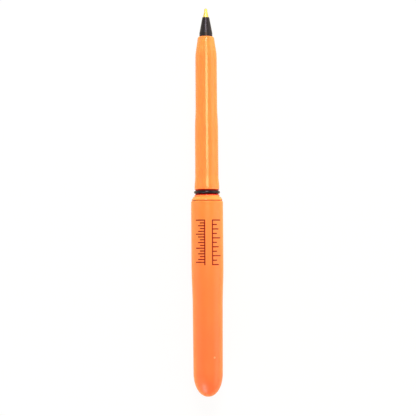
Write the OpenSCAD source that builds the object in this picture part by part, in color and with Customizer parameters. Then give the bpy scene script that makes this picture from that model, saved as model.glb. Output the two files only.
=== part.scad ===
// Pocket ballpoint pen, lying on its side with its cap posted on the back of the barrel.
// Every piece is turned about the pen's axis. Stations along the axis are measured from the
// back face of the stop collar, where the cap seats: positive towards the writing tip,
// negative towards the closed end of the cap. All sizes are in millimetres.

/* [Barrel] */
// Length from the back face of the stop collar to the front rim
barrel_front_len = 59.3; // [45:0.1:75]
// Diameter of the front rim
rim_d = 5.8; // [5.2:0.1:6.6]
// Radius on the outer edge of the front rim
rim_round = 0.5; // [0.1:0.05:0.5]
// Length of the cone behind the rim
front_cone_len = 6.4; // [4:0.1:12]
// Diameter where the cone meets the tube
shoulder_d = 7.75; // [7:0.05:8.3]
// Radius that blends the cone into the tube
shoulder_round = 18; // [2:1:25]
// Diameter of the front tube where it starts to swell
front_tube_d = 7.8; // [7.6:0.05:8.3]
// Distance of the swell from the stop collar
swell_from_collar = 25.5; // [14:0.5:28]
// Length of the swell
swell_len = 9; // [3:0.5:14]
// Diameter behind the swell
swell_d = 8.35; // [8:0.05:8.7]
// Diameter of the back tube where the flare starts
tube_back_d = 8.4; // [7.9:0.05:8.8]
// Length of the flare between the tube and the seal land
flare_len = 4; // [1.5:0.1:8]
// Diameter of the seal land in front of the ring
land_d = 8.9; // [8.5:0.05:9.15]
// Length of the seal land
land_len = 0.75; // [0.4:0.05:2]
// Gap all round between the ink tube and the barrel's bore
tube_clearance = 1.35; // [0.3:0.05:1.4]

/* [Stop collar] */
// Diameter of the collar
collar_d = 11.15; // [10.6:0.05:12]
// Thickness of the collar with its cone
collar_t = 1.4; // [0.8:0.1:2]
// Thickness of the straight rim of the collar
collar_rim_t = 0.45; // [0.2:0.05:0.7]
// Radius on both edges of that rim
collar_round = 0.2; // [0.05:0.05:0.25]
// Diameter at the foot of the collar's cone
collar_foot_d = 9.85; // [9.4:0.05:10.4]
// Diameter of the narrow land between the ring and the collar
back_land_d = 9.1; // [8.9:0.05:9.3]
// Length of that land
back_land_len = 0.6; // [0.4:0.05:1.2]
// Radius on the edge of that land beside the ring
back_land_round = 0.3; // [0.05:0.05:0.4]

/* [Spigot and end plug] */
// Diameter of the cap spigot at the collar
spigot_d = 9.2; // [8.6:0.05:9.6]
// Length of the spigot, without the plug's dome
spigot_len = 21; // [14:0.5:26]
// Draft of the spigot and of the cap's mouth, degrees a side
fit_draft = 0.35; // [0.1:0.05:0.8]
// Diameter of the chamber in the spigot, which the plug's shank fills
chamber_d = 5.8; // [5.2:0.1:7]
// Solid length left between the collar and the chamber
chamber_floor = 2; // [1:0.5:4]
// Length of the dome on the end plug
plug_dome_len = 3; // [1:0.5:5]
// Length of the plug's shank
plug_shank_len = 5; // [3:0.5:8]
// Wall of the plug's shank
plug_wall = 1; // [0.6:0.1:1.4]

/* [Seal ring] */
// Inside diameter of the rubber ring, as stretched over its groove
ring_id = 7; // [6.6:0.05:7.4]
// Thickness of the ring's round section
ring_section = 1.2; // [1:0.05:1.4]
// Width of the ring's seat beyond the ring's thickness
groove_play = 0.1; // [0.05:0.05:0.4]
// Length of the sloped edge on both sides of that seat
groove_edge_len = 0.4; // [0.1:0.05:0.6]
// Depth of that sloped edge below the seal land
groove_edge_depth = 0.35; // [0.1:0.05:0.4]

/* [Cap] */
// Length of the cap
cap_len = 70.25; // [60:0.05:90]
// Diameter of the straight part at the mouth
cap_d = 11.5; // [11:0.05:12.5]
// Length of the straight part
cap_straight_len = 23.2; // [16:0.1:28]
// Length over which the cap narrows behind it
cap_waist_len = 15.5; // [6:0.5:20]
// Diameter behind the narrowing
cap_waist_d = 10.8; // [10.3:0.05:11.2]
// Diameter where the rounded end starts
cap_end_d = 10.55; // [10:0.05:10.9]
// Length of the rounded end
cap_end_len = 8.6; // [5.5:0.1:12]
// Fullness of the rounded end: 2 is an ellipse, more is blunter
end_fullness = 2.1; // [2:0.05:3]
// Wall of the narrow part
cap_wall = 1.2; // [0.8:0.05:1.3]
// Wall at the closed end
cap_end_wall = 1.6; // [1:0.1:3]
// Radius on the outer edge of the mouth
mouth_round = 0.45; // [0.1:0.05:0.5]
// Chamfer inside the mouth
mouth_lead = 0.3; // [0.1:0.05:0.5]

/* [Nose] */
// Length of the nose in front of the barrel
nose_len = 7.1; // [5:0.1:10]
// Diameter at the back of the nose
nose_base_d = 4.7; // [4.5:0.05:4.9]
// Length of the straight part at the back of the nose
nose_base_len = 1.4; // [0.5:0.1:2.5]
// Radius that blends the straight part into the nose's cone
nose_base_round = 0.7; // [0.1:0.1:3]
// Wall of the nose around the metal point at its front edge
nose_lip = 0.22; // [0.15:0.01:0.4]
// Diameter of the nose's shank in the barrel
nose_shank_d = 4.3; // [4.1:0.05:4.45]
// Length of that shank
nose_shank_len = 9; // [7.5:0.5:14]
// Raised rings that grip the barrel, along the shank
grip_rings = 3; // [2:1:4]
// Length of one grip ring
grip_ring_len = 1.1; // [0.6:0.1:1.4]
// Depth of the shank between the grip rings
grip_relief = 0.1; // [0.05:0.01:0.2]
// Depth of the socket that holds the ink tube
tube_socket_len = 6.5; // [4:0.5:9]
// Wall between that socket and the one that holds the metal point
nose_web = 3; // [0.6:0.1:3]

/* [Writing point] */
// Length of the point in front of the nose, with the ball
point_len = 3.3; // [2.5:0.1:4.5]
// Diameter of the point's shank
point_d = 2.1; // [2:0.05:2.4]
// Length of the straight part in front of the nose
point_land_len = 0.1; // [0.05:0.05:0.5]
// Diameter of the writing ball
ball_d = 1; // [0.5:0.1:1.2]
// How far the ball stands out of the lip
ball_show = 0.3; // [0.15:0.01:0.32]
// Wall of the lip that holds the ball
lip_wall = 0.06; // [0.03:0.01:0.1]
// Length of the slim neck behind the lip
neck_len = 0.8; // [0.4:0.05:1]
// Growth of the neck's radius over its length
neck_growth = 0.03; // [0.02:0.01:0.15]
// Diameter of the ink feed drilled from the back
feed_d = 1.3; // [1:0.05:1.5]
// Diameter of the fine channel behind the ball
channel_d = 0.5; // [0.3:0.05:0.6]
// Length of the fine channel behind the ball
channel_len = 0.9; // [0.8:0.05:1.1]
// Ink slots around the ball's seat
seat_slots = 5; // [3:1:6]
// Width of one ink slot
seat_slot_d = 0.16; // [0.1:0.01:0.2]
// Length of the fine channel below the slots
seat_slot_floor = 0.2; // [0.1:0.01:0.3]

/* [Ink tube] */
// Outside diameter of the ink tube
tube_d = 3; // [2.6:0.05:3.1]
// Bore of the ink tube
tube_bore_d = 1.9; // [1.6:0.05:2.1]
// Length of the ink tube
tube_len = 69; // [40:1:70]
// Length of the ink behind the metal point
ink_len = 40; // [20:1:62]

/* [Fits] */
// Gap all round between the spigot and the cap
cap_fit = 0.05; // [0.02:0.01:0.1]
// Gap between the seated cap and the collar
cap_seat_gap = 0.05; // [0.05:0.01:0.2]
// Gap all round between the ball and its seat
ball_fit = 0.015; // [0.01:0.005:0.03]
// Gap all round left between pieces that are pressed together
press_gap = 0.01; // [0.005:0.005:0.02]
// Space between the end plug and the step in the cap's bore
post_space = 1; // [0.5:0.1:3]

/* [Hidden] */
$fn = 96;

ORANGE = "#FF8F4A";
BLACK = "#2C2B2D";
BRASS = "#E4D470";
CARBIDE = "#8C9096";
CLEAR = "#E9E7DF";
INK = "#15141A";

// Steps of the curves, and the length by which a cut runs past the face that it opens
arc_step = 6;
arc_least = 4;
curve_steps = 16;
overcut = 0.5;
// Half the angle of a corner that counts as straight, degrees
straight = 89.9;
// Small edge radii that break sharp corners
edge_round = 0.12;
nose_edge_round = 0.08;

// Stations along the axis
rim_z = barrel_front_len;
shoulder_z = rim_z - front_cone_len;
groove_w = ring_section + groove_play + 2 * groove_edge_len;
groove_back_z = collar_t + back_land_len;
groove_front_z = groove_back_z + groove_w;
flare_back_z = groove_front_z + land_len;
flare_front_z = flare_back_z + flare_len;
swell_front_z = swell_from_collar + swell_len;
nose_front_z = rim_z + nose_len;
nose_back_z = rim_z - nose_shank_len;
tip_z = nose_front_z + point_len;
ball_z = tip_z - ball_d / 2;
lip_z = tip_z - ball_show;
tube_front_z = nose_back_z + tube_socket_len;
point_back_z = tube_front_z + nose_web;
channel_back_z = ball_z - channel_len;
feed_front_z = channel_back_z - (feed_d - channel_d) / 2;
tube_back_z = tube_front_z - tube_len;
mouth_z = -cap_seat_gap;
cap_back_z = mouth_z - cap_len;
cap_end_z = cap_back_z + cap_end_len;

// Radii that follow from the fits
groove_r = ring_id / 2 - press_gap;
groove_edge_r = land_d / 2 - groove_edge_depth;
spigot_r = spigot_d / 2;
spigot_end_r = spigot_r - spigot_len * tan(fit_draft);
mouth_r = spigot_r + cap_fit;
mouth_depth = spigot_len + plug_dome_len + post_space;
mouth_end_r = mouth_r - mouth_depth * tan(fit_draft);
deep_r = cap_waist_d / 2 - cap_wall;
deep_end_r = cap_end_d / 2 - cap_wall;
seat_r = ball_d / 2 + ball_fit;
lip_r = sqrt(pow(seat_r, 2) - pow(lip_z - ball_z, 2)) + lip_wall;
neck_r = lip_r + neck_growth;
ink_r = tube_bore_d / 2 - press_gap;

// The pen lies along X, its middle over the origin and its widest part on the ground
middle_z = (tip_z + cap_back_z) / 2;
axis_height = max(cap_d, collar_d) / 2;

// Outline helpers: each point is [radius, station] or [radius, station, corner radius]
function flat(p) = [p[0], p[1]];
function unit(v) = v / norm(v);

function corner(a, b, c, r) =
    let (u = unit(a - b), v = unit(c - b), half = acos(max(-1, min(1, u * v))) / 2)
    r <= 0 || half > straight ? [b] :
    let (
        centre = b + unit(u + v) * r / sin(half),
        first = b + u * r / tan(half) - centre,
        last = b + v * r / tan(half) - centre,
        start = atan2(first[1], first[0]),
        turn = (atan2(last[1], last[0]) - start + 540) % 360 - 180,
        steps = max(arc_least, ceil(abs(turn) / arc_step))
    )
    [for (i = [0:steps]) let (a = start + turn * i / steps) centre + r * [cos(a), sin(a)]];

function rounded(p) =
    let (n = len(p))
    [for (i = [0:n - 1])
        each corner(flat(p[(i + n - 1) % n]), flat(p[i]), flat(p[(i + 1) % n]),
                    len(p[i]) > 2 ? p[i][2] : 0)];

// A smooth change of radius between two points, level at both ends
function eased(from, to) =
    [for (i = [0:curve_steps]) let (t = i / curve_steps)
        [from[0] + (to[0] - from[0]) * (1 - cos(180 * t)) / 2, from[1] + (to[1] - from[1]) * t]];

// A rounded end that closes on the axis, from its full radius backwards
function bullet(r, z, length) =
    [for (i = [0:curve_steps]) let (a = 90 * i / curve_steps, e = 2 / end_fullness)
        [r * pow(cos(a), e), z - length * pow(sin(a), e)]];

module turned(outline) rotate_extrude() polygon(outline);

module bored(d, from, to) translate([0, 0, from]) cylinder(d = d, h = to - from);

module on_axis() translate([-middle_z, 0, axis_height]) rotate([0, 90, 0]) children();

module cap() {
    outside = rounded(concat(
        [[0, mouth_z], [cap_d / 2, mouth_z, mouth_round]],
        eased([cap_d / 2, mouth_z - cap_straight_len],
              [cap_waist_d / 2, mouth_z - cap_straight_len - cap_waist_len]),
        bullet(cap_end_d / 2, cap_end_z, cap_end_len)));
    step_z = mouth_z - mouth_depth;
    inside = concat(
        [[0, mouth_z + overcut],
         [mouth_r + mouth_lead, mouth_z + overcut],
         [mouth_r + mouth_lead, mouth_z],
         [mouth_r - mouth_lead * tan(fit_draft), mouth_z - mouth_lead],
         [mouth_end_r, step_z],
         [deep_r, step_z - max(0, mouth_end_r - deep_r)]],
        bullet(deep_end_r, cap_end_z, cap_end_len - cap_end_wall));
    color(ORANGE) on_axis() difference() {
        turned(outside);
        turned(inside);
    }
}

module barrel() {
    outside = rounded(concat(
        [[0, rim_z],
         [rim_d / 2, rim_z, rim_round],
         [shoulder_d / 2, shoulder_z, shoulder_round]],
        eased([front_tube_d / 2, swell_front_z], [swell_d / 2, swell_from_collar]),
        eased([tube_back_d / 2, flare_front_z], [land_d / 2, flare_back_z]),
        [[land_d / 2, groove_front_z, edge_round],
         [groove_edge_r, groove_front_z - groove_edge_len],
         [groove_r, groove_front_z - groove_edge_len],
         [groove_r, groove_back_z + groove_edge_len],
         [groove_edge_r, groove_back_z + groove_edge_len],
         [back_land_d / 2, groove_back_z, back_land_round],
         [back_land_d / 2, collar_t],
         [collar_foot_d / 2, collar_t],
         [collar_d / 2, collar_rim_t, collar_round],
         [collar_d / 2, 0, collar_round],
         [spigot_r, 0],
         [spigot_end_r, -spigot_len],
         [0, -spigot_len]]));
    socket_r = nose_shank_d / 2 + press_gap;
    bore_r = tube_d / 2 + tube_clearance;
    chamber_r = chamber_d / 2;
    inside = [
        [0, rim_z + overcut],
        [socket_r, rim_z + overcut],
        [socket_r, nose_back_z],
        [bore_r, nose_back_z],
        [bore_r, -chamber_floor],
        [chamber_r, -chamber_floor - abs(chamber_r - bore_r)],
        [chamber_r, -spigot_len - overcut],
        [0, -spigot_len - overcut]];
    color(ORANGE) on_axis() difference() {
        turned(outside);
        turned(inside);
    }
}

module end_plug() {
    shank_r = chamber_d / 2 - press_gap;
    dome = bullet(spigot_end_r, -spigot_len, plug_dome_len);
    outline = concat(
        [[0, -spigot_len + plug_wall],
         [shank_r - plug_wall, -spigot_len + plug_wall],
         [shank_r - plug_wall, -spigot_len + plug_shank_len],
         [shank_r, -spigot_len + plug_shank_len],
         [shank_r, -spigot_len]],
        dome);
    color(ORANGE) on_axis() turned(outline);
}

module seal_ring() {
    color(BLACK) on_axis() rotate_extrude()
        translate([ring_id / 2 + ring_section / 2, (groove_front_z + groove_back_z) / 2])
            circle(d = ring_section);
}

module nose() {
    shank_r = nose_shank_d / 2;
    pitch = (nose_shank_len - grip_ring_len) / (grip_rings - 1);
    outside = rounded(
        [[0, nose_front_z],
         [point_d / 2 + nose_lip, nose_front_z, nose_edge_round],
         [nose_base_d / 2, rim_z + nose_base_len, nose_base_round],
         [nose_base_d / 2, rim_z],
         [shank_r, rim_z],
         [shank_r, nose_back_z],
         [0, nose_back_z]]);
    point_r = point_d / 2 + press_gap;
    tube_r = tube_d / 2 + press_gap;
    inside = [
        [0, nose_front_z + overcut],
        [point_r, nose_front_z + overcut],
        [point_r, point_back_z],
        [tube_bore_d / 2, point_back_z],
        [tube_bore_d / 2, tube_front_z],
        [tube_r, tube_front_z],
        [tube_r, nose_back_z - overcut],
        [0, nose_back_z - overcut]];
    color(BLACK) on_axis() difference() {
        turned(outside);
        turned(inside);
        for (i = [0:grip_rings - 2])
            difference() {
                bored(nose_shank_d + overcut, nose_back_z + i * pitch + grip_ring_len,
                      nose_back_z + (i + 1) * pitch);
                bored(nose_shank_d - 2 * grip_relief, nose_back_z - overcut, rim_z);
            }
    }
}

module point() {
    outside = [
        [0, lip_z],
        [lip_r, lip_z],
        [neck_r, lip_z - neck_len],
        [point_d / 2, nose_front_z + point_land_len],
        [point_d / 2, point_back_z],
        [0, point_back_z]];
    inside = [
        [0, ball_z],
        [channel_d / 2, ball_z],
        [channel_d / 2, channel_back_z],
        [feed_d / 2, feed_front_z],
        [feed_d / 2, point_back_z - overcut],
        [0, point_back_z - overcut]];
    color(BRASS) on_axis() difference() {
        turned(outside);
        turned(inside);
        translate([0, 0, ball_z]) sphere(r = seat_r);
        for (i = [0:seat_slots - 1])
            rotate([0, 0, 360 * i / seat_slots])
                translate([channel_d / 2, 0, 0])
                    bored(seat_slot_d, channel_back_z + seat_slot_floor, ball_z);
    }
}

module ball() color(CARBIDE) on_axis() translate([0, 0, ball_z]) sphere(d = ball_d);

module ink_tube() {
    color(CLEAR) on_axis() difference() {
        bored(tube_d, tube_back_z, tube_front_z);
        bored(tube_bore_d, tube_back_z - overcut, tube_front_z + overcut);
    }
}

module ink() {
    feed_r = feed_d / 2 - press_gap;
    color(INK) on_axis() turned(
        [[0, feed_front_z],
         [feed_r, feed_front_z],
         [feed_r, point_back_z],
         [ink_r, point_back_z],
         [ink_r, point_back_z - ink_len],
         [0, point_back_z - ink_len + ink_r]]);
}

cap();
barrel();
end_plug();
seal_ring();
nose();
point();
ball();
ink_tube();
ink();
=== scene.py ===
"""Pocket pen lying on a white table, its cap posted on the back of the barrel.

Outlines are in millimetres, as (station along the pen, radius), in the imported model's own frame:
+X runs along the pen to the writing tip, and the axis lies one cap radius above the table.
"""
import math

import bmesh
import bpy
from mathutils import Matrix, Vector


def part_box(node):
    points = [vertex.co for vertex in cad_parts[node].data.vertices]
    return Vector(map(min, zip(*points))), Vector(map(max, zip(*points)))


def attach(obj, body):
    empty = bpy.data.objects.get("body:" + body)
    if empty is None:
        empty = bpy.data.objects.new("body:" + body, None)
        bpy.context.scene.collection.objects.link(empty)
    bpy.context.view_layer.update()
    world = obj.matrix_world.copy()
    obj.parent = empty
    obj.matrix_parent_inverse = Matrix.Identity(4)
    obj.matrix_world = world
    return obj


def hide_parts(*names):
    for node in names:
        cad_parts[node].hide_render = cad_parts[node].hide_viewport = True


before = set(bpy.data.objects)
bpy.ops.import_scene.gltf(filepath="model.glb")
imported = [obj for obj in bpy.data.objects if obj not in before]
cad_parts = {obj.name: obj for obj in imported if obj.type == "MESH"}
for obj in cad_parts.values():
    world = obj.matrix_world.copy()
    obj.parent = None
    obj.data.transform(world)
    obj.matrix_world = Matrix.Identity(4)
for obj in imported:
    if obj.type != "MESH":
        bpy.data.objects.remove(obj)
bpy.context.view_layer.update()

MM = 0.001


def ends(node):
    """Back and front station of a CAD node, in millimetres."""
    low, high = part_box(node)
    return low.x / MM, high.x / MM


def radius(node):
    """Largest radius of a CAD node about the pen's axis, in millimetres."""
    low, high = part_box(node)
    return (high.y - low.y) / 2 / MM


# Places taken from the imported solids
CAP_END, CAP_MOUTH = ends("cap")
SPIGOT_END, RIM = ends("barrel")
NOSE_BACK, NOSE_FRONT = ends("nose")
POINT_BACK, LIP = ends("point")
PLUG_END, PLUG_TOP = ends("end_plug")
RING_BACK, RING_FRONT = ends("seal_ring")
BALL_BACK, TIP = ends("ball")
TUBE_FRONT = ends("ink_tube")[1]
CAP_R = radius("cap")
COLLAR_R = radius("barrel")
RING_R = radius("seal_ring")
POINT_R = radius("point")
BALL_R = radius("ball")
AXIS_Z = CAP_R

# Cap
SEAT_GAP = 0.05
COLLAR_BACK = CAP_MOUTH + SEAT_GAP
STRAIGHT_LEN = 23.2
WAIST_LEN = 15.5
WAIST_R = 5.4
END_R = 5.275
END_LEN = 8.6
END_FULLNESS = 2.1
CAP_WALL = 1.2
END_WALL = 1.6
MOUTH_ROUND = 0.45
MOUTH_LEAD = 0.3
CAP_FIT = 0.05
POST_SPACE = 1
MOUTH_DEPTH = COLLAR_BACK - PLUG_END + POST_SPACE

# Print on the cap: a plain scale, millimetres on one side and sixteenths of an inch on the other
SCALE_FROM_MOUTH = 7
SCALE_LEN = 15.875
SCALE_MIDDLE = math.radians(5)
SCALE_GAP = 3.2

# Its two rows: side, pitch, and how many ticks there are to each long and each middling one
SCALES = ((-1, 1.0, 5, 2), (1, 25.4 / 16, 4, 2))
TICK_LENGTHS = (3.4, 2.4, 1.6)
LINE_W = 0.4
PRINT_T = 0.006
PRINT_SINK = 0.02
PRINT_STEP = math.radians(2)

# Witness of the moulding gate on the cap
GATE_STATION = -55.6
GATE_ANGLE = math.radians(26)
GATE_R = 0.36
GATE_RISE = 0.12
GATE_STEPS = 24

# Its outline, as shares of its radius and its rise, from just under the face of the cap
GATE_OUTLINE = ((1, -0.12), (1, 0), (0.9, 0.7), (0.6, 0.95), (0, 1))

# Barrel, spigot and plug
RIM_R = 2.9
RIM_ROUND = 0.5
FRONT_CONE_LEN = 6.4
SHOULDER_R = 3.875
SHOULDER_ROUND = 18
FRONT_TUBE_R = 3.9
SWELL_FROM_COLLAR = 25.5
SWELL_LEN = 9
SWELL_R = 4.175
TUBE_BACK_R = 4.2
FLARE_LEN = 4
LAND_R = 4.45
LAND_LEN = 0.75
GROOVE_PLAY = 0.1
GROOVE_EDGE_LEN = 0.4
GROOVE_EDGE_R = 4.1
BACK_LAND_R = 4.55
BACK_LAND_LEN = 0.6
BACK_LAND_ROUND = 0.3
COLLAR_T = 1.4
COLLAR_RIM_T = 0.45
COLLAR_ROUND = 0.2
COLLAR_FOOT_R = 4.925
EDGE_ROUND = 0.12
SPIGOT_R = 4.6
FIT_DRAFT = math.radians(0.35)
SPIGOT_END_R = SPIGOT_R - (COLLAR_BACK - SPIGOT_END) * math.tan(FIT_DRAFT)
CHAMBER_R = 2.9
CHAMBER_FLOOR = 2
BORE_R = 2.85
PLUG_WALL = 1
PRESS_GAP = 0.01
SEAM_RISE = 0.02
GROOVE_BACK = COLLAR_BACK + COLLAR_T + BACK_LAND_LEN
GROOVE_FRONT = GROOVE_BACK + (RING_FRONT - RING_BACK) + GROOVE_PLAY + 2 * GROOVE_EDGE_LEN

# Nose and point
NOSE_BASE_R = 2.35
NOSE_BASE_LEN = 1.4
NOSE_BASE_ROUND = 0.7
NOSE_LIP = 0.22
NOSE_EDGE_ROUND = 0.08
NOSE_SHANK_R = 2.15
TUBE_R = 1.5
TUBE_BORE_R = 0.95
POINT_LAND_LEN = 0.1
POINT_EDGE_ROUND = 0.05
BALL_FIT = 0.015
LIP_WALL = 0.06
NECK_LEN = 0.8
NECK_GROWTH = 0.03
NECK_ROUND = 0.3
FEED_R = 0.65
CHANNEL_R = 0.25
CHANNEL_LEN = 0.9
RING_FLASH = 0.02

# Fineness of the turned meshes
TURN_STEPS = 192
CURVE_STEPS = 40
ARC_STEP = math.radians(9)
ARC_LEAST = 5
HOLD = 0.06
SHARP_ANGLE = math.radians(38)
STRAIGHT_CORNER = math.radians(0.2)
ON_AXIS = 1e-6

# Colours painted on as light and shade, amber for a painted sheen at a low angle and red for painted shade
# in the groove and the joint; the cold tint of carbon black's sheen; and those of the lamps and the room
PAINTED_EDGE_AMBER = "#FFB347"
GROOVE_SHADE_RED = "#D2190C"
JOINT_SHADE_RED = "#C65F22"
COLD_SHEEN = "#EEE4FF"
LAMP_WARM = "#FFDDA6"
ROOM_WARM = "#FFF0D8"
PLAIN_WHITE = "#FFFFFF"
PAPER_WHITE = "#FAFAFA"

# Sizes of what shows in the surfaces, in millimetres
FLOW_CLOUD = 9
HAIRLINE_SPACING = 0.5
SHEEN_PATCH = 1.5
TUBE_HAZE = 2

# Stations between which the orange of the cap is painted darker, a painted shade toward its closed end
CAP_SHADE_SPAN = (0, -54)

# How strongly the patterns of the surfaces show
CLOUD_SHARE = 0.12
HAIRLINE_STRETCH = 0.03
HAIRLINE_SPAN = (0.35, 0.75)
HAIRLINE_ROUGH = (0.95, 1.15)
# Facing values over which the painted amber sheen comes in
LOW_ANGLE_SPAN = (0.2, 0.8)
PATCH_SPAN = (0.3, 0.7)
PATCH_ROUGH = (-0.05, 0.06)
MARK_ROUGH = (-0.04, 0.05)
TUBE_ROUGH = (0.28, 0.42)

# Radians of phase that the wave texture gives to one unit of its scale
WAVE_PHASE = 20


def corner(before, at, after, size):
    """Arc of that radius in place of one corner of an outline."""
    a, b, c = Vector(before), Vector(at), Vector(after)
    u = (a - b).normalized()
    v = (c - b).normalized()
    half = u.angle(v) / 2
    if size <= 0 or math.pi - 2 * half < STRAIGHT_CORNER:
        return [at]
    centre = b + (u + v).normalized() * size / math.sin(half)
    first = b + u * size / math.tan(half) - centre
    last = b + v * size / math.tan(half) - centre
    start = math.atan2(first.y, first.x)
    turned = math.remainder(math.atan2(last.y, last.x) - start, 2 * math.pi)
    steps = max(ARC_LEAST, math.ceil(abs(turned) / ARC_STEP))
    angles = [start + turned * i / steps for i in range(steps + 1)]
    return [(centre.x + size * math.cos(t), centre.y + size * math.sin(t)) for t in angles]


def rounded(points, closed):
    """Outline with each corner that states a radius turned into an arc."""
    count = len(points)
    result = []
    for i, point in enumerate(points):
        inner = closed or 0 < i < count - 1
        size = point[2] if len(point) > 2 and inner else 0
        if size:
            result += corner(points[i - 1][:2], point[:2], points[(i + 1) % count][:2], size)
        else:
            result.append(point[:2])
    return result


def held(points, closed):
    """Outline with a point close to both ends of each long stretch, which then shades flat to its edges."""
    count = len(points)
    result = []
    for i in range(count if closed else count - 1):
        a, b = Vector(points[i]), Vector(points[(i + 1) % count])
        result.append(tuple(a))
        length = (b - a).length
        if length > 4 * HOLD:
            along = (b - a) * HOLD / length
            result += [tuple(a + along), tuple(b - along)]
    return result if closed else result + [tuple(points[-1])]


def eased(start, end):
    """Smooth change of radius between two points, level at both ends."""
    shares = [i / CURVE_STEPS for i in range(CURVE_STEPS + 1)]
    return [(start[0] + (end[0] - start[0]) * t,
             start[1] + (end[1] - start[1]) * (1 - math.cos(math.pi * t)) / 2) for t in shares]


def bullet(station, full_radius, length):
    """Rounded end from its full radius backwards to the axis."""
    power = 2 / END_FULLNESS
    angles = [math.pi / 2 * i / CURVE_STEPS for i in range(CURVE_STEPS)]
    curve = [(station - length * math.sin(t) ** power, full_radius * math.cos(t) ** power)
             for t in angles]
    return curve + [(station - length, 0.0)]


def on_pen(station, r, angle):
    """Place on a turned surface. Angle 0 faces up, and a quarter turn faces -Y, right in the picture."""
    return Vector((station, -r * math.sin(angle), AXIS_Z + r * math.cos(angle))) * MM


def as_object(name, made, material, body, slot, *nodes):
    """Mesh object made from a bmesh, finished, riding on its body and standing for its CAD nodes."""
    bmesh.ops.recalc_face_normals(made, faces=made.faces)
    mesh = bpy.data.meshes.new(name)
    made.to_mesh(mesh)
    made.free()
    mesh.shade_smooth()
    mesh.set_sharp_from_angle(angle=SHARP_ANGLE)
    mesh.materials.append(material)
    piece = bpy.data.objects.new(name, mesh)
    bpy.context.scene.collection.objects.link(piece)
    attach(piece, body)
    if nodes:
        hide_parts(*nodes)


def skin(made, rings, closed):
    """Faces between rings of points that follow each other. A ring of one point is a pole."""
    for near, far in zip(rings, rings[1:] + rings[:1] if closed else rings[1:]):
        count = max(len(near), len(far))
        for step in range(count):
            after = (step + 1) % count
            if len(near) == 1:
                made.faces.new((near[0], far[after], far[step]))
            elif len(far) == 1:
                made.faces.new((near[step], near[after], far[0]))
            else:
                made.faces.new((near[step], near[after], far[after], far[step]))


def turn(outline, closed, raise_by=None):
    """Bmesh of an outline turned about the pen's axis.

    raise_by(station, radius, step) lifts single points."""
    made = bmesh.new()
    rings = []
    for station, r in held(outline, closed):
        ring = []
        for step in range(TURN_STEPS if r > ON_AXIS else 1):
            lift = raise_by(station, r, step) if raise_by else 0
            ring.append(made.verts.new(on_pen(station, r + lift, 2 * math.pi * step / TURN_STEPS)))
        rings.append(ring)
    skin(made, rings, closed)
    return made


def linear(hex_colour):
    """Linear RGBA of an sRGB hex colour."""
    parts = [int(hex_colour[i:i + 2], 16) / 255 for i in (1, 3, 5)]
    return [c / 12.92 if c <= 0.04045 else ((c + 0.055) / 1.055) ** 2.4 for c in parts] + [1.0]


def add(tree, kind, inputs=None, **settings):
    """Node of that kind with its settings, and each input set to a value or linked to a socket."""
    made = tree.nodes.new(kind)
    for key, value in settings.items():
        setattr(made, key, value)
    for key, value in (inputs or {}).items():
        if isinstance(value, bpy.types.NodeSocket):
            tree.links.new(value, made.inputs[key])
        else:
            made.inputs[key].default_value = value
    return made


def new_material(name):
    """Empty node material, with its tree and its output node."""
    material = bpy.data.materials.new(name)
    material.use_nodes = True
    tree = material.node_tree
    tree.nodes.clear()
    return material, tree, add(tree, "ShaderNodeOutputMaterial")


def per_mm(size):
    """Texture scale at which one feature of the pattern is that many millimetres across."""
    return 1 / (size * MM)


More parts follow.
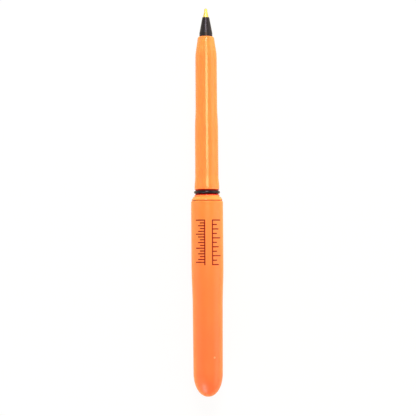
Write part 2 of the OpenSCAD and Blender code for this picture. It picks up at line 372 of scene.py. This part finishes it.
def moulded_abs(name, colour, shaded_colour, shade_span, rough, grain_mm, grain_depth_mm, painted_shade_bands=(),
                edge_sheen_share=0.0):
    """ABS, injection moulded. Between two stations the colour is painted darker, a painted shade toward the
    end that less light reaches, and it clouds a little where the melt flowed. In each band between two
    stations the colour is painted red, a painted shade in a groove or a joint. The tool's face leaves a
    grain and handling leaves hairlines along the pen, both drawn coarser than they really are so that they
    show. At a low angle up to that share of the colour is painted amber, a painted sheen."""
    material, tree, output = new_material(name)
    place = add(tree, "ShaderNodeTexCoord").outputs["Object"]
    along = add(tree, "ShaderNodeSeparateXYZ", {"Vector": place})
    clouds = add(tree, "ShaderNodeTexNoise", {"Vector": place, "Scale": per_mm(FLOW_CLOUD), "Detail": 2.0})
    # Painted shade: between the two stations the colour is painted darker, toward the end that less light
    # reaches
    shade_along = add(tree, "ShaderNodeMapRange", {"Value": along.outputs["X"], "From Min": shade_span[0] * MM,
                                            "From Max": shade_span[1] * MM})
    cloud_share = add(tree, "ShaderNodeMapRange", {"Value": clouds.outputs["Fac"], "To Min": -CLOUD_SHARE,
                                                   "To Max": CLOUD_SHARE})
    shade_and_clouds = add(tree, "ShaderNodeMath", {0: shade_along.outputs["Result"], 1: cloud_share.outputs["Result"]},
                operation="ADD", use_clamp=True)
    tint = add(tree, "ShaderNodeMix", {"Factor": shade_and_clouds.outputs[0], "A": linear(colour),
                                       "B": linear(shaded_colour)}, data_type="RGBA")
    # Painted sheen: where the eye sees the surface at a low angle, up to that share of the colour is painted
    # amber
    facing = add(tree, "ShaderNodeLayerWeight", {"Blend": 0.5})
    edge = add(tree, "ShaderNodeMapRange", {"Value": facing.outputs["Facing"],
                                            "From Min": LOW_ANGLE_SPAN[0],
                                            "From Max": LOW_ANGLE_SPAN[1], "To Max": edge_sheen_share},
               interpolation_type="SMOOTHSTEP")
    tint = add(tree, "ShaderNodeMix", {"Factor": edge.outputs["Result"], "A": tint.outputs["Result"],
                                       "B": linear(PAINTED_EDGE_AMBER)}, data_type="RGBA")
    # Painted shade: each band between two stations is painted red, where shade falls in a groove or a joint
    for back, front, red in painted_shade_bands:
        middle, half = (front + back) / 2 * MM, (front - back) / 2 * MM
        inside = add(tree, "ShaderNodeMath", {0: along.outputs["X"], 1: middle, 2: half},
                     operation="COMPARE")
        tint = add(tree, "ShaderNodeMix", {"Factor": inside.outputs[0], "A": tint.outputs["Result"],
                                           "B": linear(red)}, data_type="RGBA")
    stretched = add(tree, "ShaderNodeMapping", {"Vector": place, "Scale": (HAIRLINE_STRETCH, 1.0, 1.0)})
    hairlines = add(tree, "ShaderNodeTexNoise", {"Vector": stretched.outputs["Vector"],
                                                 "Scale": per_mm(HAIRLINE_SPACING), "Detail": 3.0})
    dulled = add(tree, "ShaderNodeMapRange", {"Value": hairlines.outputs["Fac"],
                                              "From Min": HAIRLINE_SPAN[0],
                                              "From Max": HAIRLINE_SPAN[1],
                                              "To Min": rough * HAIRLINE_ROUGH[0],
                                              "To Max": rough * HAIRLINE_ROUGH[1]})
    grain = add(tree, "ShaderNodeTexNoise", {"Vector": place, "Scale": per_mm(grain_mm), "Detail": 2.0})
    grained = add(tree, "ShaderNodeBump", {"Height": grain.outputs["Fac"], "Strength": 1.0,
                                           "Distance": grain_depth_mm * MM})
    shader = add(tree, "ShaderNodeBsdfPrincipled", {"Base Color": tint.outputs["Result"],
                                                    "Roughness": dulled.outputs["Result"], "IOR": 1.54,
                                                    "Subsurface Weight": 0.3,
                                                    "Subsurface Radius": (1.0, 0.3, 0.1),
                                                    "Subsurface Scale": 1.0 * MM,
                                                    "Normal": grained.outputs["Normal"]})
    tree.links.new(shader.outputs["BSDF"], output.inputs["Surface"])
    return material


def pigmented_material(name, colour, rough, ior, grain_mm, grain_depth_mm):
    """Rubber, plastic or ink filled with fine pigment: a grain, drawn coarser than it is so that it shows,
    and a patchy sheen, slightly cold as that of carbon black is."""
    material, tree, output = new_material(name)
    place = add(tree, "ShaderNodeTexCoord").outputs["Object"]
    patches = add(tree, "ShaderNodeTexNoise", {"Vector": place, "Scale": per_mm(SHEEN_PATCH), "Detail": 3.0})
    sheen = add(tree, "ShaderNodeMapRange", {"Value": patches.outputs["Fac"], "From Min": PATCH_SPAN[0],
                                             "From Max": PATCH_SPAN[1],
                                             "To Min": rough + PATCH_ROUGH[0],
                                             "To Max": rough + PATCH_ROUGH[1]})
    grain = add(tree, "ShaderNodeTexNoise", {"Vector": place, "Scale": per_mm(grain_mm), "Detail": 2.0})
    grained = add(tree, "ShaderNodeBump", {"Height": grain.outputs["Fac"], "Strength": 1.0,
                                           "Distance": grain_depth_mm * MM})
    shader = add(tree, "ShaderNodeBsdfPrincipled", {"Base Color": linear(colour),
                                                    "Roughness": sheen.outputs["Result"], "IOR": ior,
                                                    "Specular Tint": linear(COLD_SHEEN),
                                                    "Normal": grained.outputs["Normal"]})
    tree.links.new(shader.outputs["BSDF"], output.inputs["Surface"])
    return material


def turned_metal(name, colour, rough, mark_mm, mark_depth_mm):
    """Metal cut on a lathe: bright, with rings left by the tool, drawn coarser than they really are so that
    they show."""
    material, tree, output = new_material(name)
    place = add(tree, "ShaderNodeTexCoord").outputs["Object"]
    scale = per_mm(mark_mm) * 2 * math.pi / WAVE_PHASE
    rings = add(tree, "ShaderNodeTexWave", {"Vector": place, "Scale": scale, "Distortion": 0.6,
                                            "Detail": 1.0},
                wave_type="BANDS", bands_direction="X")
    uneven = add(tree, "ShaderNodeMapRange", {"Value": rings.outputs["Fac"],
                                              "To Min": rough + MARK_ROUGH[0],
                                              "To Max": rough + MARK_ROUGH[1]})
    cut = add(tree, "ShaderNodeBump", {"Height": rings.outputs["Fac"], "Strength": 1.0,
                                       "Distance": mark_depth_mm * MM})
    shader = add(tree, "ShaderNodeBsdfPrincipled", {"Base Color": linear(colour), "Metallic": 1.0,
                                                    "Roughness": uneven.outputs["Result"],
                                                    "Normal": cut.outputs["Normal"]})
    tree.links.new(shader.outputs["BSDF"], output.inputs["Surface"])
    return material


def natural_polypropylene():
    """Unpigmented polypropylene, extruded: milky, and the ink darkens it from within."""
    material, tree, output = new_material("natural_polypropylene")
    place = add(tree, "ShaderNodeTexCoord").outputs["Object"]
    haze = add(tree, "ShaderNodeTexNoise", {"Vector": place, "Scale": per_mm(TUBE_HAZE), "Detail": 2.0})
    cloudy = add(tree, "ShaderNodeMapRange", {"Value": haze.outputs["Fac"], "To Min": TUBE_ROUGH[0],
                                              "To Max": TUBE_ROUGH[1]})
    shader = add(tree, "ShaderNodeBsdfPrincipled", {"Base Color": linear("#EFEDE6"),
                                                    "Roughness": cloudy.outputs["Result"], "IOR": 1.49,
                                                    "Transmission Weight": 0.7})
    tree.links.new(shader.outputs["BSDF"], output.inputs["Surface"])
    return material


# Cap: moulded in a blasted tool, so that it blurs what it mirrors to a soft satin. Its orange is painted
# darker toward the closed end as painted shade, the edge of its mouth is painted red as painted shade in the
# joint, and its edges seen at a low angle are painted amber as a painted sheen
satin_abs = moulded_abs("satin_orange_abs", colour="#FF8A3B", shaded_colour="#FF7539", shade_span=CAP_SHADE_SPAN,
                        rough=0.38, grain_mm=0.30, grain_depth_mm=0.004, edge_sheen_share=0.28,
                        painted_shade_bands=[(CAP_MOUTH - MOUTH_ROUND / 3, CAP_MOUTH, JOINT_SHADE_RED)])
# Barrel: moulded in a polished tool, which gives one clear streak of light along it. The ring's groove and
# the back edge of the collar are painted red as painted shade, and its edges seen at a low angle are painted
# amber as a painted sheen
gloss_abs = moulded_abs("gloss_orange_abs", colour="#FF8D3D", shaded_colour="#FF8D3D", shade_span=(RIM, 0),
                        rough=0.10, grain_mm=0.40, grain_depth_mm=0.0001, edge_sheen_share=0.12,
                        painted_shade_bands=[(GROOVE_BACK - EDGE_ROUND / 2, GROOVE_FRONT + EDGE_ROUND / 2, GROOVE_SHADE_RED),
                                  (COLLAR_BACK, COLLAR_BACK + COLLAR_ROUND / 2, JOINT_SHADE_RED)])
# Gate: the same plastic, painted paler as a painted highlight for the glint on its witness, and painted
# darker toward the cap's closed end as painted shade
gate_glint_abs = moulded_abs("gate_abs_painted_glint", colour="#FFB684", shaded_colour="#FFA26E",
                           shade_span=CAP_SHADE_SPAN, rough=0.30, grain_mm=0.30, grain_depth_mm=0.002)
# Seal ring: moulded rubber, black and smooth, with a soft glint
nitrile = pigmented_material("black_nitrile_rubber", colour="#0D080E", rough=0.14, ior=1.42, grain_mm=0.25,
                             grain_depth_mm=0.003)
# Nose: moulded plastic, black with a satin streak
black_pp = pigmented_material("black_polypropylene", colour="#151416", rough=0.31, ior=1.42, grain_mm=0.20,
                              grain_depth_mm=0.004)
# Print: pad-printed ink, thin and almost matt
print_ink = pigmented_material("maroon_pad_print_ink", colour="#7E0A12", rough=0.45, ior=1.3, grain_mm=0.15,
                               grain_depth_mm=0.002)
# Ink: a glossy paste
ink_paste = pigmented_material("black_ballpoint_paste", colour="#0D0C11", rough=0.2, ior=1.5, grain_mm=0.5,
                               grain_depth_mm=0.002)
# Point: free-cutting brass, pale yellow and bright
brass = turned_metal("turned_brass", colour="#ECDC76", rough=0.36, mark_mm=1.38, mark_depth_mm=0.0008)
# Ball: ground and lapped, almost a mirror
carbide = turned_metal("ground_tungsten_carbide", colour="#CDBF96", rough=0.12, mark_mm=0.63,
                       mark_depth_mm=0.0005)


def cap_outside():
    """Outside of the cap from the middle of its closed end to where the straight part starts."""
    waist_front = CAP_MOUTH - STRAIGHT_LEN
    curve = eased((waist_front, CAP_R), (waist_front - WAIST_LEN, WAIST_R))
    points = curve + bullet(CAP_END + END_LEN, END_R, END_LEN)
    return points[::-1]


def make_cap():
    """Cap: a tapered mouth for the spigot, and behind it a hollow that follows the rounded outside."""
    mouth_r = SPIGOT_R + CAP_FIT
    step = CAP_MOUTH - MOUTH_DEPTH
    step_r = mouth_r - MOUTH_DEPTH * math.tan(FIT_DRAFT)
    deep_r = WAIST_R - CAP_WALL
    outside = cap_outside()
    mouth = rounded([outside[-1],
                     (CAP_MOUTH, CAP_R, MOUTH_ROUND),
                     (CAP_MOUTH, mouth_r + MOUTH_LEAD, EDGE_ROUND),
                     (CAP_MOUTH - MOUTH_LEAD, mouth_r),
                     (step, step_r),
                     (step - step_r + deep_r, deep_r)], False)
    dome = bullet(CAP_END + END_LEN, END_R - CAP_WALL, END_LEN - END_WALL)
    made = turn(outside[:-1] + mouth + dome, False)
    as_object("cap_shell", made, satin_abs, "cap", "cap_plastic", "cap")


def print_bar(made, near, far, first, last):
    """Closed thin slab of ink on the straight part of the cap, between two stations and two angles."""
    steps = max(1, math.ceil(abs(last - first) / PRINT_STEP))
    edges = []
    for station, r in ((near, CAP_R - PRINT_SINK), (near, CAP_R + PRINT_T),
                       (far, CAP_R + PRINT_T), (far, CAP_R - PRINT_SINK)):
        angles = [first + (last - first) * i / steps for i in range(steps + 1)]
        edges.append([made.verts.new(on_pen(station, r, angle)) for angle in angles])
    for a, b in zip(edges, edges[1:] + edges[:1]):
        for i in range(steps):
            made.faces.new((a[i], a[i + 1], b[i + 1], b[i]))
    for i in (0, steps):
        made.faces.new([edge[i] for edge in edges])


def make_scale():
    """Two rows of ticks, each along its own base line."""
    made = bmesh.new()
    start = CAP_MOUTH - SCALE_FROM_MOUTH
    for side, pitch, long_every, mid_every in SCALES:
        base = SCALE_MIDDLE + side * SCALE_GAP / 2 / CAP_R
        inner = base - side * LINE_W / CAP_R
        print_bar(made, start + LINE_W / 2, start - SCALE_LEN - LINE_W / 2, inner, base)
        for i in range(math.floor(SCALE_LEN / pitch) + 1):
            length = TICK_LENGTHS[0 if i % long_every == 0 else 1 if i % mid_every == 0 else 2]
            station = start - i * pitch
            print_bar(made, station + LINE_W / 2, station - LINE_W / 2, base,
                      base + side * length / CAP_R)
    as_object("cap_scale_print", made, print_ink, "cap", "nose_plastic")


def make_gate_mark():
    """Low round witness where the moulding gate was cut off, near the closed end of the cap."""
    made = bmesh.new()
    taper = (END_R - WAIST_R) / (CAP_END + END_LEN - (CAP_MOUTH - STRAIGHT_LEN - WAIST_LEN))
    foot = END_R + (GATE_STATION - CAP_END - END_LEN) * taper
    rings = []
    for share, height in GATE_OUTLINE:
        ring = []
        for step in range(GATE_STEPS if share else 1):
            around = 2 * math.pi * step / GATE_STEPS
            station = GATE_STATION + GATE_R * share * math.cos(around)
            angle = GATE_ANGLE + GATE_R * share * math.sin(around) / foot
            ring.append(made.verts.new(on_pen(station, foot + height * GATE_RISE, angle)))
        rings.append(ring)
    made.faces.new(rings[0])
    skin(made, rings, False)
    as_object("cap_gate_witness", made, gate_glint_abs, "cap", "cap_plastic")


def parting_line(station, r, step):
    """The split tool leaves a fine ridge along both sides of the barrel, in front of the seal ring."""
    on_side = step in (TURN_STEPS // 4, 3 * TURN_STEPS // 4)
    return SEAM_RISE if on_side and station > RING_FRONT and r > RIM_R else 0


def make_barrel():
    """Barrel: coned front, flared land, ring groove and stop collar, then the spigot and the bores."""
    groove_r = RING_R - (RING_FRONT - RING_BACK) - PRESS_GAP
    flare_back = GROOVE_FRONT + LAND_LEN
    swell_back = COLLAR_BACK + SWELL_FROM_COLLAR
    socket_r = NOSE_SHANK_R + PRESS_GAP
    chamber_front = COLLAR_BACK - CHAMBER_FLOOR
    outline = [(RIM, socket_r),
               (RIM, RIM_R, RIM_ROUND),
               (RIM - FRONT_CONE_LEN, SHOULDER_R, SHOULDER_ROUND)]
    outline += eased((swell_back + SWELL_LEN, FRONT_TUBE_R), (swell_back, SWELL_R))
    outline += eased((flare_back + FLARE_LEN, TUBE_BACK_R), (flare_back, LAND_R))
    outline += [(GROOVE_FRONT, LAND_R, EDGE_ROUND),
                (GROOVE_FRONT - GROOVE_EDGE_LEN, GROOVE_EDGE_R),
                (GROOVE_FRONT - GROOVE_EDGE_LEN, groove_r),
                (GROOVE_BACK + GROOVE_EDGE_LEN, groove_r),
                (GROOVE_BACK + GROOVE_EDGE_LEN, GROOVE_EDGE_R),
                (GROOVE_BACK, BACK_LAND_R, BACK_LAND_ROUND),
                (COLLAR_BACK + COLLAR_T, BACK_LAND_R),
                (COLLAR_BACK + COLLAR_T, COLLAR_FOOT_R),
                (COLLAR_BACK + COLLAR_RIM_T, COLLAR_R, COLLAR_ROUND),
                (COLLAR_BACK, COLLAR_R, COLLAR_ROUND),
                (COLLAR_BACK, SPIGOT_R),
                (SPIGOT_END, SPIGOT_END_R),
                (SPIGOT_END, CHAMBER_R),
                (chamber_front - CHAMBER_R + BORE_R, CHAMBER_R),
                (chamber_front, BORE_R),
                (NOSE_BACK, BORE_R),
                (NOSE_BACK, socket_r)]
    made = turn(rounded(outline, True), True, parting_line)
    as_object("barrel_body", made, gloss_abs, "barrel", "barrel_plastic", "barrel")


def make_end_plug():
    """Hollow plug with a rounded end, which closes the back of the barrel."""
    shank_r = CHAMBER_R - PRESS_GAP
    dome = bullet(SPIGOT_END, SPIGOT_END_R, SPIGOT_END - PLUG_END)
    outline = dome[::-1] + [(SPIGOT_END, shank_r),
                            (PLUG_TOP, shank_r),
                            (PLUG_TOP, shank_r - PLUG_WALL),
                            (SPIGOT_END + PLUG_WALL, shank_r - PLUG_WALL),
                            (SPIGOT_END + PLUG_WALL, 0.0)]
    as_object("barrel_end_plug", turn(outline, False), gloss_abs, "barrel", "barrel_plastic", "end_plug")


def make_seal_ring():
    """O-ring, with the fine flash that its mould's parting plane leaves inside and outside."""
    section_r = (RING_FRONT - RING_BACK) / 2
    centre = (RING_FRONT + RING_BACK) / 2
    middle_r = RING_R - section_r
    outline = []
    for i in range(CURVE_STEPS):
        angle = 2 * math.pi * i / CURVE_STEPS
        out = section_r + (RING_FLASH if i in (0, CURVE_STEPS // 2) else 0)
        outline.append((centre + out * math.sin(angle), middle_r + out * math.cos(angle)))
    as_object("rubber_seal_ring", turn(outline, True), nitrile, "barrel", "seal_rubber", "seal_ring")


def make_nose():
    """Nose cone on a shank pressed into the barrel, with a socket for the tube and a hole for the point."""
    outline = [(NOSE_FRONT, POINT_R + PRESS_GAP),
               (NOSE_FRONT, POINT_R + NOSE_LIP, NOSE_EDGE_ROUND),
               (RIM + NOSE_BASE_LEN, NOSE_BASE_R, NOSE_BASE_ROUND),
               (RIM, NOSE_BASE_R),
               (RIM, NOSE_SHANK_R),
               (NOSE_BACK, NOSE_SHANK_R),
               (NOSE_BACK, TUBE_R + PRESS_GAP),
               (TUBE_FRONT, TUBE_R + PRESS_GAP),
               (TUBE_FRONT, TUBE_BORE_R),
               (POINT_BACK, TUBE_BORE_R),
               (POINT_BACK, POINT_R + PRESS_GAP)]
    made = turn(rounded(outline, True), True)
    as_object("nose_cone", made, black_pp, "barrel", "nose_plastic", "nose")


def make_point():
    """Writing point: a round seat whose spun lip holds the ball, on a fine channel and a drilled feed."""
    seat_r = BALL_R + BALL_FIT
    ball_centre = TIP - BALL_R
    mouth = LIP - ball_centre
    lip_r = math.sqrt(seat_r ** 2 - mouth ** 2) + LIP_WALL
    channel_back = ball_centre - CHANNEL_LEN
    first = math.acos(mouth / seat_r)
    last = math.pi - math.asin(CHANNEL_R / seat_r)
    seat = []
    for i in range(CURVE_STEPS // 2 + 1):
        angle = first + (last - first) * i / (CURVE_STEPS // 2)
        seat.append((ball_centre + seat_r * math.cos(angle), seat_r * math.sin(angle)))
    outline = [(LIP, lip_r),
               (LIP - NECK_LEN, lip_r + NECK_GROWTH, NECK_ROUND),
               (NOSE_FRONT + POINT_LAND_LEN, POINT_R, POINT_EDGE_ROUND),
               (POINT_BACK, POINT_R),
               (POINT_BACK, FEED_R),
               (channel_back - FEED_R + CHANNEL_R, FEED_R),
               (channel_back, CHANNEL_R)]
    made = turn(rounded(outline, True) + seat[::-1], True)
    as_object("brass_point", made, brass, "barrel", "point_brass", "point")


def make_ball():
    """Writing ball, turned between its two poles."""
    centre = TIP - BALL_R
    angles = [math.pi * i / CURVE_STEPS for i in range(1, CURVE_STEPS)]
    arc = [(centre + BALL_R * math.cos(t), BALL_R * math.sin(t)) for t in angles]
    outline = [(TIP, 0.0)] + arc + [(BALL_BACK, 0.0)]
    as_object("writing_ball", turn(outline, False), carbide, "ball", "ball_metal", "ball")


make_cap()
make_scale()
make_gate_mark()
make_barrel()
make_end_plug()
make_seal_ring()
make_nose()
make_point()
make_ball()

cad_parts["ink_tube"].data.materials[0] = natural_polypropylene()
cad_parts["ink"].data.materials[0] = ink_paste

# Room: the light that the world gives, and the share of the table that glows white to the eye
ROOM_LIGHT = 0.1
TABLE_GLOW = 0.92
TABLE_HALF = 2000


def seen_directly(tree):
    """1 for what the eye sees directly, in a reflection or through something clear, otherwise 0."""
    path = add(tree, "ShaderNodeLightPath")
    mirrored = add(tree, "ShaderNodeMath", {0: path.outputs["Is Camera Ray"],
                                            1: path.outputs["Is Glossy Ray"]}, operation="MAXIMUM")
    seen = add(tree, "ShaderNodeMath", {0: mirrored.outputs[0], 1: path.outputs["Is Transmission Ray"]},
               operation="MAXIMUM")
    return seen.outputs[0]


def room_white(tree):
    """Warm white of the room, which is burnt out to plain white where the eye sees it directly."""
    path = add(tree, "ShaderNodeLightPath")
    white = add(tree, "ShaderNodeMix", {"Factor": path.outputs["Is Camera Ray"], "A": linear(ROOM_WARM),
                                        "B": linear(PLAIN_WHITE)}, data_type="RGBA")
    return white.outputs["Result"]


def make_table():
    """White paper sweep. It glows almost white to the eye, and the rest carries the pen's soft shadow."""
    material, tree, output = new_material("white_paper")
    share = add(tree, "ShaderNodeMath", {0: seen_directly(tree), 1: TABLE_GLOW}, operation="MULTIPLY")
    lit = add(tree, "ShaderNodeBsdfDiffuse", {"Color": linear(PAPER_WHITE)})
    glow = add(tree, "ShaderNodeEmission", {"Color": room_white(tree), "Strength": 1.0})
    mixed = add(tree, "ShaderNodeMixShader", {0: share.outputs[0], 1: lit.outputs[0], 2: glow.outputs[0]})
    tree.links.new(mixed.outputs[0], output.inputs["Surface"])
    half = TABLE_HALF * MM
    mesh = bpy.data.meshes.new("table")
    mesh.from_pydata([(-half, -half, 0), (half, -half, 0), (half, half, 0), (-half, half, 0)], [],
                     [(0, 1, 2, 3)])
    mesh.materials.append(material)
    table = bpy.data.objects.new("table", mesh)
    bpy.context.scene.collection.objects.link(table)


def make_room():
    """White room: an even light on the object, and white behind it."""
    world = bpy.data.worlds.new("white_room")
    bpy.context.scene.world = world
    world.use_nodes = True
    tree = world.node_tree
    tree.nodes.clear()
    strength = add(tree, "ShaderNodeMapRange", {"Value": seen_directly(tree), "To Min": ROOM_LIGHT,
                                                "To Max": 1.0})
    back = add(tree, "ShaderNodeBackground", {"Color": room_white(tree), "Strength": strength.outputs[0]})
    output = add(tree, "ShaderNodeOutputWorld")
    tree.links.new(back.outputs[0], output.inputs["Surface"])


def make_panel(name, place, aim, width, height, radiance, colour=PLAIN_WHITE, mirrored=True, diffuse=True):
    """Softbox at a place, facing a point, in millimetres, its width as near along the pen as it can be.
    Its power follows from its brightness. Unless mirrored it shows in no reflection, and unless diffuse
    it gives a highlight and lights nothing else."""
    light = bpy.data.lights.new(name, "AREA")
    light.shape = "RECTANGLE"
    light.size = width * MM
    light.size_y = height * MM
    light.energy = radiance * math.pi * light.size * light.size_y
    light.color = linear(colour)[:3]
    lamp = bpy.data.objects.new(name, light)
    back = (Vector(place) - Vector(aim)).normalized()
    across = (Vector((1, 0, 0)) - back * back.x).normalized()
    lamp.matrix_world = (Matrix.Translation(Vector(place) * MM)
                         @ Matrix((across, back.cross(across), back)).transposed().to_4x4())
    lamp.visible_camera = False
    lamp.visible_glossy = mirrored
    lamp.visible_diffuse = diffuse
    bpy.context.scene.collection.objects.link(lamp)


# Camera: above the pen, tip up in the picture, leaning a little from the cap's end
CAMERA_DISTANCE = 430
CAMERA_LEAN = math.radians(1.7)
CAMERA_ROLL = math.radians(-0.39)
CAMERA_FIELD = math.radians(19.78)
CAMERA_AIM = Vector((-2.3, -0.34, AXIS_Z))
CAMERA_NEAR = 10


def make_camera():
    """Camera that looks down on the pen, rolled as the photo is."""
    back = Vector((-math.sin(CAMERA_LEAN), 0, math.cos(CAMERA_LEAN)))
    level = Vector((math.cos(CAMERA_LEAN), 0, math.sin(CAMERA_LEAN)))
    up = Matrix.Rotation(CAMERA_ROLL, 3, back) @ level
    data = bpy.data.cameras.new("photo_camera")
    data.sensor_fit = "HORIZONTAL"
    data.angle = CAMERA_FIELD
    data.clip_start = CAMERA_NEAR * MM
    camera = bpy.data.objects.new("photo_camera", data)
    facing = Matrix((up.cross(back), up, back)).transposed().to_4x4()
    camera.matrix_world = Matrix.Translation((CAMERA_AIM + back * CAMERA_DISTANCE) * MM) @ facing
    bpy.context.scene.collection.objects.link(camera)
    bpy.context.scene.camera = camera


make_table()
make_room()
# Above the barrel: the streak along it, and the same streak carried on over its cone
make_panel("key_softbox", place=(184, -85, 1000), aim=(30, 0, AXIS_Z), width=232, height=420, radiance=8.6,
           colour=LAMP_WARM)
make_panel("cone_softbox", place=(435, -85, 1000), aim=(55, 0, AXIS_Z), width=270, height=420, radiance=6,
           colour=LAMP_WARM, diffuse=False)
# Beyond both ends: light on the collar and the cones, the streak on the nose, and the cap's rounded end
make_panel("tip_softbox", place=(900, -85, 272), aim=(10, 0, AXIS_Z), width=630, height=420, radiance=15,
           mirrored=False)
make_panel("nose_softbox", place=(345, 20, 406), aim=(63, 0, AXIS_Z), width=110, height=150, radiance=16)
make_panel("end_softbox", place=(-300, 120, 130), aim=(-66, 0, AXIS_Z), width=140, height=140, radiance=6.8)
# Both sides: bright walls, of which the plastic mirrors only a part
make_panel("right_wall", place=(0, -450, 180), aim=(0, 0, 180), width=900, height=360, radiance=0.9,
           colour=ROOM_WARM)
make_panel("right_fill", place=(0, -470, 180), aim=(0, 0, 180), width=940, height=376, radiance=1.3,
           colour=ROOM_WARM, mirrored=False)
make_panel("left_wall", place=(0, 450, 90), aim=(0, 0, 90), width=900, height=180, radiance=2.3,
           mirrored=False)
make_camera()
bpy.context.scene.view_settings.view_transform = "Standard"
